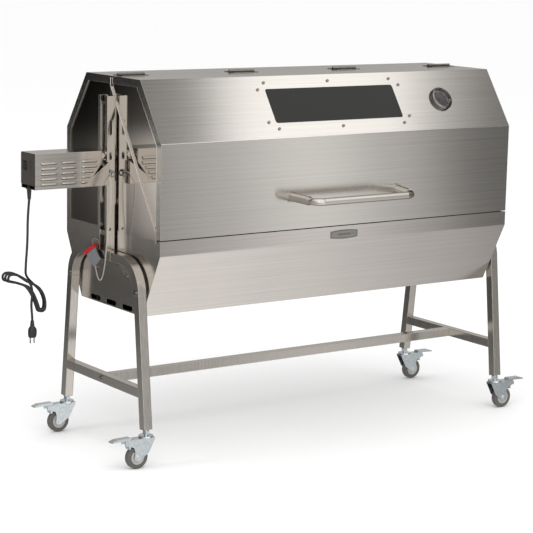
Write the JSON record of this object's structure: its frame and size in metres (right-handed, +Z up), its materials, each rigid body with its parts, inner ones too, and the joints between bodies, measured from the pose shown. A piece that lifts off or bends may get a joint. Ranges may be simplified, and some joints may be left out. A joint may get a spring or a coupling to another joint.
{
  "type": "rotisserie spit roaster",
  "caption": "Hooded charcoal spit roaster on a rolling stand, with a hinged windowed lid and a geared motor on a height-adjusting carriage.",
  "frame": {"origin": "on the floor, under the middle of the hood's length and depth", "axes": "+X along the hood, away from the motor; +Y to the back; +Z up; the front window and handle face -Y"},
  "size_m": [1.81, 0.664, 1.133],
  "materials": {
    "hood_steel": "brushed along the hood",
    "end_steel": "polished sheet",
    "firebox_steel": "brushed",
    "frame_steel": "satin tube",
    "fastener_steel": "plain",
    "grate_iron": "matt black",
    "plate_bright": "polished",
    "window_glass": "clear over a dark chamber",
    "chrome": "polished",
    "dial_case": "polished bezel round a dark dial",
    "dial_glass": "clear",
    "dial_needle": "red",
    "motor_steel": "bright rolled sheet",
    "motor_black": "satin black",
    "motor_alloy": "cast and painted",
    "switch_plastic": "gloss",
    "spit_steel": "turned bar",
    "cord_rubber": "satin flexible sheath",
    "plug_brass": "nickelled",
    "lock_red": "plated plate with a red ribbed grip",
    "chain_steel": "plated",
    "caster_zinc": "zinc plated",
    "caster_tyre": "grey tread"
  },
  "bodies": {
    "stand": {"hood_back_shell": "hood_steel", "hood_end_left": "end_steel", "hood_end_right": "end_steel", "firebox_shell": "firebox_steel", "firebox_end_left": "firebox_steel", "firebox_end_right": "firebox_steel", "leg_arch_left": "frame_steel", "leg_arch_right": "frame_steel", "legs_left": "frame_steel", "legs_right": "frame_steel", "cross_bar_left": "frame_steel", "cross_bar_right": "frame_steel", "long_stretcher": "frame_steel", "frame_bolts": "fastener_steel", "post_left": "frame_steel", "post_right": "frame_steel", "charcoal_grate": "grate_iron", "nameplate": "plate_bright", "hinge_leaves_fixed": "fastener_steel", "caster_stems": "caster_zinc", "height_lock": "lock_red", "lock_chain": "chain_steel"},
    "lid": {"lid_shell": "hood_steel", "lid_end_left": "end_steel", "lid_end_right": "end_steel", "window_glass": "window_glass", "window_frame": "fastener_steel", "window_screws": "fastener_steel", "lid_handle": "chrome", "hinge_leaves_lid": "fastener_steel", "thermometer_case": "dial_case", "thermometer_glass": "dial_glass"},
    "needle": {"thermometer_needle": "dial_needle"},
    "motor_carriage": {"motor_tray": "motor_steel", "motor_cover": "motor_steel", "motor_end_plate": "motor_black", "gear_motor": "motor_alloy", "cord_gland": "cord_rubber", "cord_lead": "cord_rubber", "cord_hank": "cord_rubber", "plug_body": "cord_rubber", "plug_blades": "plug_brass"},
    "switch": {"power_switch": "switch_plastic"},
    "spit": {"spit_coupling": "spit_steel", "spit_rod": "spit_steel"},
    "fork_left": {"meat_fork_left": "spit_steel"},
    "fork_right": {"meat_fork_right": "spit_steel"},
    "bearing_carriage": {"spit_bearing_bracket": "motor_steel"},
    "swivel_front_left": {"caster_fork_front_left": "caster_zinc"},
    "wheel_front_left": {"caster_wheel_front_left": "caster_tyre"},
    "pedal_front_left": {"brake_pedal_front_left": "caster_zinc"},
    "swivel_back_left": {"caster_fork_back_left": "caster_zinc"},
    "wheel_back_left": {"caster_wheel_back_left": "caster_tyre"},
    "pedal_back_left": {"brake_pedal_back_left": "caster_zinc"},
    "swivel_front_right": {"caster_fork_front_right": "caster_zinc"},
    "wheel_front_right": {"caster_wheel_front_right": "caster_tyre"},
    "pedal_front_right": {"brake_pedal_front_right": "caster_zinc"},
    "swivel_back_right": {"caster_fork_back_right": "caster_zinc"},
    "wheel_back_right": {"caster_wheel_back_right": "caster_tyre"},
    "pedal_back_right": {"brake_pedal_back_right": "caster_zinc"}
  },
  "joints": [
    {"name": "lid_hinge", "type": "hinge", "parent": "stand", "child": "lid", "pos_m": [0, 0.008, 1.129], "axis": [-1, 0, 0], "range_deg": [0, 165]},
    {"name": "needle_turn", "type": "hinge", "parent": "lid", "child": "needle", "pos_m": [0.417, -0.21471, 1.03916], "axis": [0, 0.8254, -0.5645], "range_deg": [0, 270]},
    {"name": "height_slide", "type": "slide", "parent": "stand", "child": "motor_carriage", "axis": [0, 0, 1], "range_m": [-0.12, 0.08]},
    {"name": "bearing_slide", "type": "slide", "parent": "stand", "child": "bearing_carriage", "axis": [0, 0, 1], "range_m": [-0.12, 0.08]},
    {"name": "switch_rock", "type": "hinge", "parent": "motor_carriage", "child": "switch", "pos_m": [-0.936, 0.017, 0.875], "axis": [0, -1, 0], "range_deg": [0, 15]},
    {"name": "spit_turn", "type": "hinge", "parent": "motor_carriage", "child": "spit", "pos_m": [0, 0, 0.894], "axis": [1, 0, 0], "continuous": true},
    {"name": "fork_left_slide", "type": "slide", "parent": "spit", "child": "fork_left", "axis": [1, 0, 0], "range_m": [-0.25, 0.18]},
    {"name": "fork_right_slide", "type": "slide", "parent": "spit", "child": "fork_right", "axis": [1, 0, 0], "range_m": [-0.18, 0.25]},
    {"name": "swivel_front_left_turn", "type": "hinge", "parent": "stand", "child": "swivel_front_left", "pos_m": [-0.679, -0.238, 0.09], "axis": [0, 0, 1], "continuous": true},
    {"name": "wheel_front_left_turn", "type": "hinge", "parent": "swivel_front_left", "child": "wheel_front_left", "pos_m": [-0.711, -0.238, 0.035], "axis": [0, 1, 0], "continuous": true},
    {"name": "pedal_front_left_press", "type": "hinge", "parent": "swivel_front_left", "child": "pedal_front_left", "pos_m": [-0.739, -0.238, 0.079], "axis": [0, -1, 0], "range_deg": [0, 18]},
    {"name": "swivel_back_left_turn", "type": "hinge", "parent": "stand", "child": "swivel_back_left", "pos_m": [-0.679, 0.238, 0.09], "axis": [0, 0, 1], "continuous": true},
    {"name": "wheel_back_left_turn", "type": "hinge", "parent": "swivel_back_left", "child": "wheel_back_left", "pos_m": [-0.711, 0.238, 0.035], "axis": [0, 1, 0], "continuous": true},
    {"name": "pedal_back_left_press", "type": "hinge", "parent": "swivel_back_left", "child": "pedal_back_left", "pos_m": [-0.739, 0.238, 0.079], "axis": [0, -1, 0], "range_deg": [0, 18]},
    {"name": "swivel_front_right_turn", "type": "hinge", "parent": "stand", "child": "swivel_front_right", "pos_m": [0.679, -0.238, 0.09], "axis": [0, 0, 1], "continuous": true},
    {"name": "wheel_front_right_turn", "type": "hinge", "parent": "swivel_front_right", "child": "wheel_front_right", "pos_m": [0.711, -0.238, 0.035], "axis": [0, 1, 0], "continuous": true},
    {"name": "pedal_front_right_press", "type": "hinge", "parent": "swivel_front_right", "child": "pedal_front_right", "pos_m": [0.739, -0.238, 0.079], "axis": [0, 1, 0], "range_deg": [0, 18]},
    {"name": "swivel_back_right_turn", "type": "hinge", "parent": "stand", "child": "swivel_back_right", "pos_m": [0.679, 0.238, 0.09], "axis": [0, 0, 1], "continuous": true},
    {"name": "wheel_back_right_turn", "type": "hinge", "parent": "swivel_back_right", "child": "wheel_back_right", "pos_m": [0.711, 0.238, 0.035], "axis": [0, 1, 0], "continuous": true},
    {"name": "pedal_back_right_press", "type": "hinge", "parent": "swivel_back_right", "child": "pedal_back_right", "pos_m": [0.739, 0.238, 0.079], "axis": [0, 1, 0], "range_deg": [0, 18]}
  ],
  "couplings": [
    {"joint": "bearing_slide", "follows": "height_slide", "ratio": 1}
  ]
}
